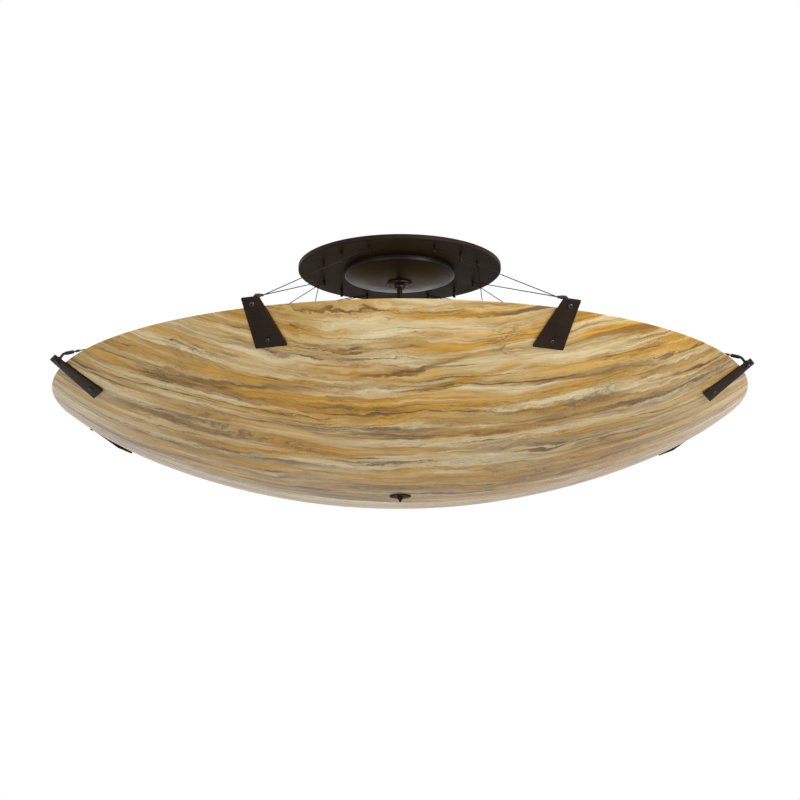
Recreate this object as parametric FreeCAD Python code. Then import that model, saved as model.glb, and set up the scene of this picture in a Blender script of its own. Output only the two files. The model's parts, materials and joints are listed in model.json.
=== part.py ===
import FreeCAD, Part
import math
import os

from FreeCAD import Vector

# Semi flush ceiling light: a wide bowl of streaked art glass hung on wires under a round canopy.
# Millimetres, +Z up. The origin is the middle of the ceiling face, so the whole light hangs below z = 0.
# An angle of 0 points to the front (-Y), and angles grow towards +X.

# Bowl. Its radius is that of the rim's sharp outer edge, and the rounding leaves 1220 across.
# The shares place the shoulder, where the flat floor arc passes into the steeper rim arc.
BOWL_RADIUS = 611.5
BOWL_DEPTH = 174.0
BOWL_WALL = 5.0
SHOULDER_RADIUS_SHARE = 0.795
SHOULDER_HEIGHT_SHARE = 0.577
BOWL_LIP_ROUND = 0.8
RIM_DROP = 248.1

# Canopy plate, a shallow pan that closes against the ceiling
PLATE_RADIUS = 183.0
PLATE_HEIGHT = 8.5
PLATE_SHEET = 1.6
PLATE_HOLE_RADIUS = 62.0
PLATE_EDGE_ROUND = 1.2

# Crossbar screwed to the ceiling inside the pan
BAR_THICKNESS = 3.0
BAR_WIDTH = 26.0
BAR_WIRE_HOLE_RADIUS = 8.0
CEILING_SCREW_CIRCLE_RADIUS = 44.45
CEILING_SCREW_HOLE_RADIUS = 2.6

# Studs and slim nuts that carry the plate
STUD_CIRCLE_RADIUS = 148.0
STUD_RADIUS = 1.75
STUD_GRIP = 10.0
NUT_RADIUS = 2.7
NUT_LENGTH = 16.0
NUT_WAIST_RADIUS = 2.2
NUT_WAIST_HEIGHT = 2.4
NUT_TIP_HEIGHT = 2.0
NUT_TIP_RADIUS = 0.6
STUD_COUNT = 4
STUD_FIRST_ANGLE = 45.0

# Wire anchors under the plate
ANCHOR_CIRCLE_RADIUS = 148.0
ANCHOR_RADIUS = 2.2
ANCHOR_LENGTH = 10.0
ANCHOR_HEAD_RADIUS = 4.0
ANCHOR_HEAD_HEIGHT = 1.5

# Dome (canopy cup) and the ring on which its skirt closes
DOME_RADIUS = 99.0
DOME_SHEET = 1.5
DOME_GAP_BELOW_PLATE = 1.8
DOME_SKIRT_HEIGHT = 7.6
DOME_CROWN = 13.0
DOME_LAND_RADIUS = 24.0
RING_SHEET = 1.5
RING_FLANGE = 12.0
RING_OVERLAP = 3.3
RING_CLEARANCE = 0.9

# Stem, its coupling and collar
STEM_RADIUS = 4.85
STEM_BORE_RADIUS = 3.2
THREAD_CLEARANCE = 0.05
SLIDE_CLEARANCE = 0.3
COUPLING_FLANGE_RADIUS = 16.0
COUPLING_FLANGE_HEIGHT = 3.0
COUPLING_RADIUS = 9.5
COUPLING_LENGTH = 20.0
COLLAR_RADIUS = 22.5
COLLAR_HEIGHT = 4.5
COLLAR_HUB_RADIUS = 10.0
COLLAR_HUB_HEIGHT = 6.0
COLLAR_RUNNING_CLEARANCE = 0.06
COLLAR_SCREW_RADIUS = 1.5
COLLAR_SCREW_SHOWS = 1.0
FACE_GAP = 0.1

# Lamp hub with its lampholders and bulbs
HUB_TOP_BELOW_RIM = 50.0
HUB_RADIUS = 30.0
HUB_HEIGHT = 42.0
HUB_WALL = 2.0
HUB_COVER_HEIGHT = 4.0
LAMP_COUNT = 4
LAMP_FIRST_ANGLE = 45.0
HOLDER_RADIUS = 17.0
HOLDER_LENGTH = 46.0
HOLDER_FLOOR = 12.0
HOLDER_NIPPLE_RADIUS = 5.0
BULB_CAP_RADIUS = 13.0
BULB_CAP_CLEARANCE = 0.08
BULB_CAP_SHOWS = 1.0
BULB_NECK_RADIUS = 14.5
BULB_RADIUS = 30.0
BULB_LENGTH = 108.0
BULB_FLOOR_GAP = 1.0
BULB_FLARE_SHARE = 0.6

# Finial rod, washers and knob
ROD_RADIUS = 3.0
ROD_GRIP = 5.0
INNER_WASHER_RADIUS = 25.0
INNER_WASHER_HEIGHT = 3.0
INNER_NUT_RADIUS = 8.0
INNER_NUT_HEIGHT = 5.0
FINIAL_WASHER_RADIUS = 19.0
FINIAL_WASHER_HEIGHT = 2.0
KNOB_RADIUS = 5.8
KNOB_BAND = 2.0
KNOB_LENGTH = 9.5
KNOB_TIP_RADIUS = 0.8
CURVED_SEAT_GAP = 0.05
BOWL_HOLE_CLEARANCE = 0.4

# Rim brackets, flat tapered plates along the outside of the wall
BRACKET_COUNT = 8
BRACKET_FIRST_ANGLE = 22.5
BRACKET_THICKNESS = 3.0
BRACKET_WALL_GAP = 0.4
BRACKET_TANGENT_BELOW_RIM = 30.9
BRACKET_BELOW_TANGENT = 47.0
BRACKET_ABOVE_TANGENT = 51.0
BRACKET_BOTTOM_WIDTH = 53.0
BRACKET_TOP_WIDTH = 29.0
BRACKET_CORNER_ROUND = 1.5
LOWER_BOLT_UP_FROM_BOTTOM = 16.0
UPPER_BOLT_DOWN_FROM_TOP = 11.0
BOLT_RADIUS = 2.0
BOLT_HOLE_CLEARANCE = 0.15
UPPER_HEAD_RADIUS = 4.4
UPPER_HEAD_HEIGHT = 3.4
LOWER_HEAD_RADIUS = 3.4
LOWER_HEAD_HEIGHT = 2.4
PAD_RADIUS = 7.0
INNER_PAD_HEIGHT = 2.5
LOWER_NUT_RADIUS = 4.2
LOWER_NUT_HEIGHT = 3.2
NUT_CROWN = 1.5

# Wire terminal: boss, bent rod, sleeve, neck and ferrule
BOSS_RADIUS = 3.9
BOSS_HEIGHT = 6.0
BOSS_THREAD_DEPTH = 5.0
TERMINAL_ROD_RADIUS = 2.25
TERMINAL_RISE = 15.3
TERMINAL_SLOPE = 18.0
TERMINAL_BEND_RADIUS = 5.0
SLEEVE_START = 3.0
SLEEVE_LENGTH = 15.0
SLEEVE_RADIUS = 3.0
NECK_RADIUS = 1.3
NECK_LENGTH = 4.0
FERRULE_RADIUS = 2.1
FERRULE_LENGTH = 6.2

# Suspension wires
WIRE_RADIUS = 0.8
WIRE_SIDE_STEP = 1.0
WIRE_END_GAP = 0.3
# For each bracket angle of the right half: the anchor angle of each of its two wires and how far below
# the plate the wire ends there, which keeps crossing wires apart. The left half mirrors it.
WIRE_ROUTES = {22.5: ((112.5, 2.0), (22.5, 2.0)), 67.5: ((157.5, 4.0), (157.5, 2.0)),
               112.5: ((157.5, 8.0), (112.5, 4.0)), 157.5: ((157.5, 6.0), (67.5, 8.0))}

UP = Vector(0, 0, 1)
ORIGIN = Vector(0, 0, 0)

PLATE_FACE_Z = -PLATE_HEIGHT
PLATE_FLOOR_Z = PLATE_FACE_Z + PLATE_SHEET
BAR_FACE_Z = -BAR_THICKNESS
DOME_SKIRT_TOP_Z = PLATE_FACE_Z - DOME_GAP_BELOW_PLATE
DOME_SKIRT_BOTTOM_Z = DOME_SKIRT_TOP_Z - DOME_SKIRT_HEIGHT
DOME_LAND_Z = DOME_SKIRT_BOTTOM_Z - DOME_CROWN
RING_RADIUS = DOME_RADIUS - DOME_SHEET - RING_CLEARANCE
COLLAR_TOP_Z = DOME_LAND_Z - FACE_GAP
RIM_Z = -RIM_DROP
BOWL_BOTTOM_Z = RIM_Z - BOWL_DEPTH
SHOULDER_RADIUS = BOWL_RADIUS * SHOULDER_RADIUS_SHARE
SHOULDER_HEIGHT = BOWL_DEPTH * SHOULDER_HEIGHT_SHARE
FLOOR_ARC = (SHOULDER_RADIUS ** 2 + SHOULDER_HEIGHT ** 2) / (2 * SHOULDER_HEIGHT)
HUB_TOP_Z = RIM_Z - HUB_TOP_BELOW_RIM
HUB_BOTTOM_Z = HUB_TOP_Z - HUB_HEIGHT
LAMP_Z = (HUB_TOP_Z + HUB_BOTTOM_Z) / 2
STEM_HOLE_RADIUS = STEM_RADIUS + THREAD_CLEARANCE
ROD_HOLE_RADIUS = ROD_RADIUS + THREAD_CLEARANCE
HUB_JOINT_GRIP = HUB_COVER_HEIGHT + 8.0


def save(name, shapes):
    """Write one node, a single solid or a group of separate solids."""
    solids = [solid for shape in shapes for solid in shape.Solids]
    shape = solids[0] if len(solids) == 1 else Part.makeCompound(solids)
    shape.exportStep(f"parts/{name}.step")
    print(name, len(solids), "solid(s)", "valid" if shape.isValid() else "INVALID")


def revolve(points):
    """Solid of revolution about Z of a closed outline of (radius, z) points."""
    corners = [Vector(r, 0, z) for r, z in points]
    return Part.Face(Part.makePolygon(corners + corners[:1])).revolve(ORIGIN, UP, 360)


def revolve_edges(edges):
    """Solid of revolution about Z of a closed outline given as edges in the XZ plane."""
    return Part.Face(Part.Wire(edges)).revolve(ORIGIN, UP, 360)


def edge(start, end):
    return Part.makeLine(Vector(*start), Vector(*end))


def arc(start, middle, end):
    return Part.Arc(Vector(*start), Vector(*middle), Vector(*end)).toShape()


def turned(shape, angle):
    """Copy of a shape built at the +X side, turned to an angle counted from the front."""
    copy = shape.copy()
    copy.rotate(ORIGIN, UP, angle - 90)
    return copy


def around(shape, count, first):
    return [turned(shape, first + index * 360.0 / count) for index in range(count)]


def hexagon(radius, height, crown):
    """Hexagonal nut blank on z = 0 with its corners chamfered at the top."""
    corners = [Vector(radius * math.cos(math.radians(60 * i)), radius * math.sin(math.radians(60 * i)), 0)
               for i in range(6)]
    blank = Part.Face(Part.makePolygon(corners + corners[:1])).extrude(Vector(0, 0, height))
    cone = Part.makeCone(radius + height - crown / 2, radius - crown / 2, height)
    return blank.common(cone)


# ---------------------------------------------------------------- bowl

def rim_arc():
    """Centre (radius, height over the rim plane) and radius of the steeper arc, and the shoulder's angle."""
    shoulder_angle = math.asin(SHOULDER_RADIUS / FLOOR_ARC)
    run = BOWL_RADIUS - SHOULDER_RADIUS
    climb = BOWL_DEPTH - SHOULDER_HEIGHT
    radius = math.hypot(run, climb) / (2 * math.sin(math.atan2(climb, run) - shoulder_angle))
    centre_r = SHOULDER_RADIUS - radius * math.sin(shoulder_angle)
    centre_z = radius * math.cos(shoulder_angle) - climb
    return centre_r, centre_z, radius, shoulder_angle


def wall_curve(offset, hole_radius):
    """Edges of the wall's outline, offset inwards, from the centre hole to the rim plane."""
    centre_r, centre_z, radius, shoulder_angle = rim_arc()
    floor = FLOOR_ARC - offset
    floor_centre_z = BOWL_BOTTOM_Z + FLOOR_ARC
    upper = radius - offset
    rim_angle = math.acos(centre_z / upper)

    def on_floor(angle):
        return floor * math.sin(angle), 0, floor_centre_z - floor * math.cos(angle)

    def on_upper(angle):
        return centre_r + upper * math.sin(angle), 0, RIM_Z + centre_z - upper * math.cos(angle)

    start_angle = math.asin(hole_radius / floor)
    low = arc(on_floor(start_angle), on_floor((start_angle + shoulder_angle) / 2), on_floor(shoulder_angle))
    high = arc(on_upper(shoulder_angle), on_upper((shoulder_angle + rim_angle) / 2), on_upper(rim_angle))
    return low, high, on_floor(start_angle), on_upper(rim_angle)


def bowl_blank():
    hole_radius = ROD_RADIUS + BOWL_HOLE_CLEARANCE
    low, high, start, end = wall_curve(0, hole_radius)
    inner_low, inner_high, inner_start, inner_end = wall_curve(BOWL_WALL, hole_radius)
    shell = revolve_edges([low, high, edge(end, inner_end), inner_high, inner_low, edge(inner_start, start)])
    lip = [side for side in shell.Edges
           if side.BoundBox.ZLength < 0.01 and abs(side.BoundBox.ZMax - RIM_Z) < 0.01]
    return shell.makeFillet(BOWL_LIP_ROUND, lip)


# ------------------------------------------------------------ brackets

def bracket_place():
    """Placement from bracket space to the +X side of the bowl.

    Bracket space: X runs up along the plate, Y is across it, and Z points into the bowl,
    with z = 0 on the plate's inner face and x = 0 where that face passes closest to the wall.
    """
    centre_r, centre_z, radius, _ = rim_arc()
    tilt = math.acos(centre_z / radius) - BRACKET_TANGENT_BELOW_RIM / radius
    reach = radius + BRACKET_WALL_GAP
    closest = Vector(centre_r + reach * math.sin(tilt), 0, RIM_Z + centre_z - reach * math.cos(tilt))
    return FreeCAD.Placement(closest, FreeCAD.Rotation(Vector(0, 1, 0), -math.degrees(tilt)))


def placed(shape):
    copy = shape.copy()
    copy.Placement = bracket_place().multiply(copy.Placement)
    return copy


LOWER_BOLT_X = LOWER_BOLT_UP_FROM_BOTTOM - BRACKET_BELOW_TANGENT
UPPER_BOLT_X = BRACKET_ABOVE_TANGENT - UPPER_BOLT_DOWN_FROM_TOP
BOLT_HOLE_RADIUS = BOLT_RADIUS + BOLT_HOLE_CLEARANCE


def bracket():
    low = BRACKET_BOTTOM_WIDTH / 2
    high = BRACKET_TOP_WIDTH / 2
    corners = [Vector(-BRACKET_BELOW_TANGENT, -low, 0), Vector(BRACKET_ABOVE_TANGENT, -high, 0),
               Vector(BRACKET_ABOVE_TANGENT, high, 0), Vector(-BRACKET_BELOW_TANGENT, low, 0)]
    plate = Part.Face(Part.makePolygon(corners + corners[:1])).extrude(Vector(0, 0, -BRACKET_THICKNESS))
    upright = [side for side in plate.Edges if side.BoundBox.ZLength > BRACKET_THICKNESS - 0.01]
    plate = plate.makeFillet(BRACKET_CORNER_ROUND, upright)
    for x in (LOWER_BOLT_X, UPPER_BOLT_X):
        hole = Part.makeCylinder(BOLT_HOLE_RADIUS, BRACKET_THICKNESS, Vector(x, 0, -BRACKET_THICKNESS))
        plate = plate.cut(hole)
    return placed(plate)


def button_bolt(x, head_radius, head_height, shank_length):
    """Round-headed bolt: its head lies on the plate's outer face, its shank runs inwards."""
    face = -BRACKET_THICKNESS
    crown = head_radius / 3
    outline = [edge((0, 0, face - head_height), (crown, 0, face - head_height)),
               arc((crown, 0, face - head_height),
                   (head_radius * 0.8, 0, face - head_height * 0.72),
                   (head_radius, 0, face - head_height * 0.25)),
               edge((head_radius, 0, face - head_height * 0.25), (head_radius, 0, face)),
               edge((head_radius, 0, face), (BOLT_RADIUS, 0, face)),
               edge((BOLT_RADIUS, 0, face), (BOLT_RADIUS, 0, face + shank_length)),
               edge((BOLT_RADIUS, 0, face + shank_length), (0, 0, face + shank_length)),
               edge((0, 0, face + shank_length), (0, 0, face - head_height))]
    bolt = revolve_edges(outline)
    bolt.translate(Vector(x, 0, 0))
    return bolt


def wall_depth(x):
    """Distances along Z of bracket space from the plate to the wall's outside and inside at x."""
    centre_r, centre_z, radius, _ = rim_arc()
    tangent = radius + BRACKET_WALL_GAP
    outside = tangent - math.sqrt(radius ** 2 - x ** 2)
    inside = tangent - math.sqrt((radius - BOWL_WALL) ** 2 - x ** 2)
    return outside, inside


def lower_fixings(bowl):
    """Bolt, outer pad, inner pad and nut that clamp the bracket to the wall."""
    outside, inside = wall_depth(LOWER_BOLT_X)
    nut_seat = inside + INNER_PAD_HEIGHT
    core = Part.makeCylinder(BOLT_HOLE_RADIUS, nut_seat, Vector(LOWER_BOLT_X, 0, 0))
    stack = Part.makeCylinder(PAD_RADIUS, nut_seat, Vector(LOWER_BOLT_X, 0, 0)).cut(core)
    pieces = sorted(placed(stack).cut(bowl).Solids, key=lambda solid: solid.CenterOfMass.z)
    outer_pad = pieces[0]
    inner_pad = pieces[-1]
    nut = hexagon(LOWER_NUT_RADIUS, LOWER_NUT_HEIGHT, NUT_CROWN)
    nut = nut.cut(Part.makeCylinder(BOLT_RADIUS + THREAD_CLEARANCE, LOWER_NUT_HEIGHT))
    nut.translate(Vector(LOWER_BOLT_X, 0, nut_seat))
    shank = BRACKET_THICKNESS + nut_seat + LOWER_NUT_HEIGHT + 1.0
    bolt = button_bolt(LOWER_BOLT_X, LOWER_HEAD_RADIUS, LOWER_HEAD_HEIGHT, shank)
    return placed(bolt), outer_pad, inner_pad, placed(nut)


def bolt_passage():
    """Hole of one lower bolt through the wall."""
    _, inside = wall_depth(LOWER_BOLT_X)
    return placed(Part.makeCylinder(BOLT_HOLE_RADIUS, inside + INNER_PAD_HEIGHT, Vector(LOWER_BOLT_X, 0, 0)))


# ----------------------------------------------------------- terminals

def terminal_frame():
    """Bolt point on the plate's inner face, bend point and direction of the sleeve, on the +X side."""
    place = bracket_place()
    foot = place.multVec(Vector(UPPER_BOLT_X, 0, 0))
    bend = place.multVec(Vector(UPPER_BOLT_X, 0, TERMINAL_RISE))
    slope = math.radians(TERMINAL_SLOPE)
    return foot, bend, Vector(-math.cos(slope), 0, math.sin(slope))


def terminal_tip():
    _, bend, along = terminal_frame()
    return bend + along * (SLEEVE_START + SLEEVE_LENGTH + NECK_LENGTH + FERRULE_LENGTH)


def terminal():
    foot, bend, along = terminal_frame()
    rise = (bend - foot).normalize()
    half_turn = rise.getAngle(along) / 2
    cut_back = TERMINAL_BEND_RADIUS * math.tan(half_turn)
    arc_start = bend - rise * cut_back
    arc_end = bend + along * cut_back
    outward = (along - rise).normalize()
    centre = bend + outward * (TERMINAL_BEND_RADIUS / math.cos(half_turn))
    arc_middle = centre - outward * TERMINAL_BEND_RADIUS
    path = Part.Wire([Part.makeLine(foot, arc_start), Part.Arc(arc_start, arc_middle, arc_end).toShape(),
                      Part.makeLine(arc_end, bend + along * (SLEEVE_START + SLEEVE_LENGTH / 2))])
    profile = Part.Wire([Part.makeCircle(TERMINAL_ROD_RADIUS, foot, rise)])
    body = path.makePipeShell([profile], True, False)
    boss = Part.makeCylinder(BOSS_RADIUS, BOSS_HEIGHT, foot, rise)
    socket = Part.makeCylinder(BOLT_RADIUS + THREAD_CLEARANCE, BOSS_THREAD_DEPTH, foot, rise)
    sleeve = Part.makeCylinder(SLEEVE_RADIUS, SLEEVE_LENGTH, bend + along * SLEEVE_START, along)
    ends = [side for side in sleeve.Edges if side.Curve.TypeId == "Part::GeomCircle"]
    sleeve = sleeve.makeFillet(SLEEVE_RADIUS / 3, ends)
    neck_start = bend + along * (SLEEVE_START + SLEEVE_LENGTH)
    neck = Part.makeCylinder(NECK_RADIUS, NECK_LENGTH, neck_start, along)
    ferrule = Part.makeCylinder(FERRULE_RADIUS, FERRULE_LENGTH, neck_start + along * NECK_LENGTH, along)
    ends = [side for side in ferrule.Edges if side.Curve.TypeId == "Part::GeomCircle"]
    ferrule = ferrule.makeFillet(FERRULE_RADIUS / 4, ends)
    return body.fuse([boss, sleeve, neck, ferrule]).removeSplitter().cut(socket)


# --------------------------------------------------------------- wires

def at_angle(radius, angle, z):
    turn = math.radians(angle)
    return Vector(radius * math.sin(turn), -radius * math.cos(turn), z)


def rod_between(start, end, radius):
    return Part.makeCylinder(radius, (end - start).Length, start, end - start)


def wire(angle, side, anchor_angle, drop):
    """Taut wire from one side of a ferrule's tip up to the wall of an anchor's barrel."""
    frame_turn = FreeCAD.Rotation(UP, angle - 90)
    across = frame_turn.multVec(Vector(0, side * WIRE_SIDE_STEP, 0))
    start = frame_turn.multVec(terminal_tip() + terminal_frame()[2] * WIRE_END_GAP) + across
    anchor = at_angle(ANCHOR_CIRCLE_RADIUS, anchor_angle, PLATE_FACE_Z - drop)
    level = Vector(start.x - anchor.x, start.y - anchor.y, 0).normalize()
    return rod_between(start, anchor + level * (ANCHOR_RADIUS + WIRE_END_GAP) + across, WIRE_RADIUS)


def all_wires():
    """Pairs of node name and wire, two for each bracket."""
    wires = []
    for angle, routes in WIRE_ROUTES.items():
        for half in (1, -1):
            number = round((half * angle - BRACKET_FIRST_ANGLE) * BRACKET_COUNT / 360.0) % BRACKET_COUNT + 1
            for letter, side, (anchor, drop) in zip("ab", (half, -half), routes):
                wires.append((f"wire_{number}_{letter}", wire(half * angle, side, half * anchor, drop)))
    return wires


# -------------------------------------------------------------- canopy

def stud_spots(z):
    return [at_angle(STUD_CIRCLE_RADIUS, STUD_FIRST_ANGLE + index * 360.0 / STUD_COUNT, z)
            for index in range(STUD_COUNT)]


def anchor_angles():
    return [BRACKET_FIRST_ANGLE + index * 360.0 / BRACKET_COUNT for index in range(BRACKET_COUNT)]


def canopy_plate():
    inner = PLATE_RADIUS - PLATE_SHEET
    pan = revolve([(PLATE_HOLE_RADIUS, PLATE_FACE_Z), (PLATE_RADIUS, PLATE_FACE_Z), (PLATE_RADIUS, 0),
                   (inner, 0), (inner, PLATE_FLOOR_Z), (PLATE_HOLE_RADIUS, PLATE_FLOOR_Z)])
    rim = [side for side in pan.Edges
           if abs(side.BoundBox.ZMax - PLATE_FACE_Z) < 0.01 and side.BoundBox.XMax > PLATE_RADIUS - 0.01]
    pan = pan.makeFillet(PLATE_EDGE_ROUND, rim)
    for spot in stud_spots(PLATE_FACE_Z):
        pan = pan.cut(Part.makeCylinder(STUD_RADIUS + SLIDE_CLEARANCE, PLATE_SHEET, spot))
    for angle in anchor_angles():
        spot = at_angle(ANCHOR_CIRCLE_RADIUS, angle, PLATE_FACE_Z)
        pan = pan.cut(Part.makeCylinder(ANCHOR_RADIUS + THREAD_CLEARANCE, PLATE_SHEET, spot))
    return pan


def ceiling_crossbar():
    reach = STUD_CIRCLE_RADIUS + BAR_WIDTH / 2
    bar = Part.makeBox(2 * reach, BAR_WIDTH, BAR_THICKNESS, Vector(-reach, -BAR_WIDTH / 2, BAR_FACE_Z))
    ends = [side for side in bar.Edges if side.BoundBox.ZLength > BAR_THICKNESS - 0.01]
    bar = bar.makeFillet(BAR_WIDTH / 2 - 1.0, ends)
    cross = turned(bar, STUD_FIRST_ANGLE).fuse(turned(bar, STUD_FIRST_ANGLE + 90)).removeSplitter()
    cross = cross.cut(Part.makeCylinder(BAR_WIRE_HOLE_RADIUS, BAR_THICKNESS, Vector(0, 0, BAR_FACE_Z)))
    for index in range(STUD_COUNT):
        angle = STUD_FIRST_ANGLE + index * 360.0 / STUD_COUNT
        screw = at_angle(CEILING_SCREW_CIRCLE_RADIUS, angle, BAR_FACE_Z)
        cross = cross.cut(Part.makeCylinder(CEILING_SCREW_HOLE_RADIUS, BAR_THICKNESS, screw))
        stud = at_angle(STUD_CIRCLE_RADIUS, angle, BAR_FACE_Z)
        cross = cross.cut(Part.makeCylinder(STUD_RADIUS + THREAD_CLEARANCE, BAR_THICKNESS, stud))
    return cross


def mounting_studs():
    length = PLATE_HEIGHT + STUD_GRIP
    return [Part.makeCylinder(STUD_RADIUS, length, spot) for spot in stud_spots(-length)]


def canopy_nut():
    """Slim barrel nut: bored from the top, with a waist at mid-length and a rounded tip."""
    middle = NUT_LENGTH / 2
    half = NUT_WAIST_HEIGHT / 2
    bore = STUD_RADIUS + THREAD_CLEARANCE
    depth = STUD_GRIP + 0.5
    outline = [edge((0, 0, -depth), (bore, 0, -depth)),
               edge((bore, 0, -depth), (bore, 0, 0)),
               edge((bore, 0, 0), (NUT_RADIUS, 0, 0)),
               edge((NUT_RADIUS, 0, 0), (NUT_RADIUS, 0, half - middle)),
               edge((NUT_RADIUS, 0, half - middle), (NUT_WAIST_RADIUS, 0, -middle)),
               edge((NUT_WAIST_RADIUS, 0, -middle), (NUT_RADIUS, 0, -middle - half)),
               edge((NUT_RADIUS, 0, -middle - half), (NUT_RADIUS, 0, NUT_TIP_HEIGHT - NUT_LENGTH)),
               arc((NUT_RADIUS, 0, NUT_TIP_HEIGHT - NUT_LENGTH),
                   (NUT_RADIUS * 0.75, 0, NUT_TIP_HEIGHT * 0.3 - NUT_LENGTH),
                   (NUT_TIP_RADIUS, 0, -NUT_LENGTH)),
               edge((NUT_TIP_RADIUS, 0, -NUT_LENGTH), (0, 0, -NUT_LENGTH)),
               edge((0, 0, -NUT_LENGTH), (0, 0, -depth))]
    return revolve_edges(outline)


def wire_anchor():
    """Turned anchor: its head lies in the pan and its barrel hangs below the plate."""
    head_top = PLATE_FLOOR_Z + ANCHOR_HEAD_HEIGHT
    bottom = PLATE_FACE_Z - ANCHOR_LENGTH
    bevel = ANCHOR_RADIUS / 2
    return revolve([(0, bottom), (bevel, bottom), (ANCHOR_RADIUS, bottom + bevel), (ANCHOR_RADIUS, PLATE_FLOOR_Z),
                    (ANCHOR_HEAD_RADIUS, PLATE_FLOOR_Z), (ANCHOR_HEAD_RADIUS, head_top), (0, head_top)])


def canopy_dome():
    """Spun cup: flat land in the middle, shallow crown and an upright skirt, open towards the plate."""
    hole = STEM_RADIUS + SLIDE_CLEARANCE
    inner = DOME_RADIUS - DOME_SHEET
    crown = DOME_SKIRT_BOTTOM_Z - DOME_LAND_Z
    middle_radius = (DOME_LAND_RADIUS + DOME_RADIUS) / 2
    belly = crown * 0.26
    outer_mid = (middle_radius, 0, DOME_LAND_Z + belly)
    inner_mid = (middle_radius - DOME_SHEET * 0.2, 0, DOME_LAND_Z + belly + DOME_SHEET)
    floor_z = DOME_LAND_Z + DOME_SHEET
    inner_bottom_z = DOME_SKIRT_BOTTOM_Z + DOME_SHEET
    outline = [edge((hole, 0, DOME_LAND_Z), (DOME_LAND_RADIUS, 0, DOME_LAND_Z)),
               arc((DOME_LAND_RADIUS, 0, DOME_LAND_Z), outer_mid, (DOME_RADIUS, 0, DOME_SKIRT_BOTTOM_Z)),
               edge((DOME_RADIUS, 0, DOME_SKIRT_BOTTOM_Z), (DOME_RADIUS, 0, DOME_SKIRT_TOP_Z)),
               edge((DOME_RADIUS, 0, DOME_SKIRT_TOP_Z), (inner, 0, DOME_SKIRT_TOP_Z)),
               edge((inner, 0, DOME_SKIRT_TOP_Z), (inner, 0, inner_bottom_z)),
               arc((inner, 0, inner_bottom_z), inner_mid, (DOME_LAND_RADIUS, 0, floor_z)),
               edge((DOME_LAND_RADIUS, 0, floor_z), (hole, 0, floor_z)),
               edge((hole, 0, floor_z), (hole, 0, DOME_LAND_Z))]
    return revolve_edges(outline)


def dome_seat_ring():
    """Angle ring under the plate: flat flange on the plate and a wall that enters the dome's skirt."""
    inner = RING_RADIUS - RING_SHEET
    bottom = DOME_SKIRT_TOP_Z - RING_OVERLAP
    flange_z = PLATE_FACE_Z - RING_SHEET
    return revolve([(inner, bottom), (RING_RADIUS, bottom), (RING_RADIUS, PLATE_FACE_Z),
                    (inner - RING_FLANGE, PLATE_FACE_Z), (inner - RING_FLANGE, flange_z), (inner, flange_z)])


# ---------------------------------------------------------------- stem

def stem_coupling():
    top = BAR_FACE_Z
    flange_z = top - COUPLING_FLANGE_HEIGHT
    bottom = top - COUPLING_LENGTH
    return revolve([(STEM_HOLE_RADIUS, bottom), (COUPLING_RADIUS, bottom), (COUPLING_RADIUS, flange_z),
                    (COUPLING_FLANGE_RADIUS, flange_z), (COUPLING_FLANGE_RADIUS, top), (STEM_HOLE_RADIUS, top)])


def stem():
    top = BAR_FACE_Z
    bottom = HUB_TOP_Z - HUB_JOINT_GRIP
    return revolve([(STEM_BORE_RADIUS, bottom), (STEM_RADIUS, bottom), (STEM_RADIUS, top), (STEM_BORE_RADIUS, top)])


def dome_collar():
    """Knurled slip collar: a wide disc under the dome and a narrow hub with a set screw."""
    hole = STEM_RADIUS + COLLAR_RUNNING_CLEARANCE
    disc_z = COLLAR_TOP_Z - COLLAR_HEIGHT
    bottom = disc_z - COLLAR_HUB_HEIGHT
    bevel = COLLAR_HEIGHT / 3
    body = revolve([(hole, bottom), (COLLAR_HUB_RADIUS, bottom), (COLLAR_HUB_RADIUS, disc_z),
                    (COLLAR_RADIUS - bevel, disc_z), (COLLAR_RADIUS, disc_z + bevel),
                    (COLLAR_RADIUS, COLLAR_TOP_Z), (hole, COLLAR_TOP_Z)])
    return body.cut(collar_screw_blank(COLLAR_SCREW_RADIUS + THREAD_CLEARANCE, 0))


def collar_screw_blank(radius, start):
    """Cylinder along +X through the hub's wall, from start to just outside the hub."""
    z = COLLAR_TOP_Z - COLLAR_HEIGHT - COLLAR_HUB_HEIGHT / 2
    return Part.makeCylinder(radius, COLLAR_HUB_RADIUS + COLLAR_SCREW_SHOWS - start, Vector(start, 0, z),
                             Vector(1, 0, 0))


def collar_screw():
    return collar_screw_blank(COLLAR_SCREW_RADIUS, STEM_RADIUS + COLLAR_RUNNING_CLEARANCE)


# --------------------------------------------------------------- lamps

def holder_hole():
    return Part.makeCylinder(HOLDER_NIPPLE_RADIUS + THREAD_CLEARANCE, HUB_RADIUS, Vector(0, 0, LAMP_Z), Vector(1, 0, 0))


def lamp_hub():
    """Round canister: open at the top, with a boss in its floor for the finial rod."""
    top = HUB_TOP_Z - HUB_COVER_HEIGHT
    inner = HUB_RADIUS - HUB_WALL
    boss = COUPLING_RADIUS
    boss_top = HUB_BOTTOM_Z + ROD_GRIP + HUB_WALL
    hub = revolve([(ROD_HOLE_RADIUS, HUB_BOTTOM_Z), (HUB_RADIUS, HUB_BOTTOM_Z), (HUB_RADIUS, top), (inner, top),
                   (inner, HUB_BOTTOM_Z + HUB_WALL), (boss, HUB_BOTTOM_Z + HUB_WALL), (boss, boss_top),
                   (ROD_HOLE_RADIUS, boss_top)])
    for hole in around(holder_hole(), LAMP_COUNT, LAMP_FIRST_ANGLE):
        hub = hub.cut(hole)
    return hub


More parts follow.
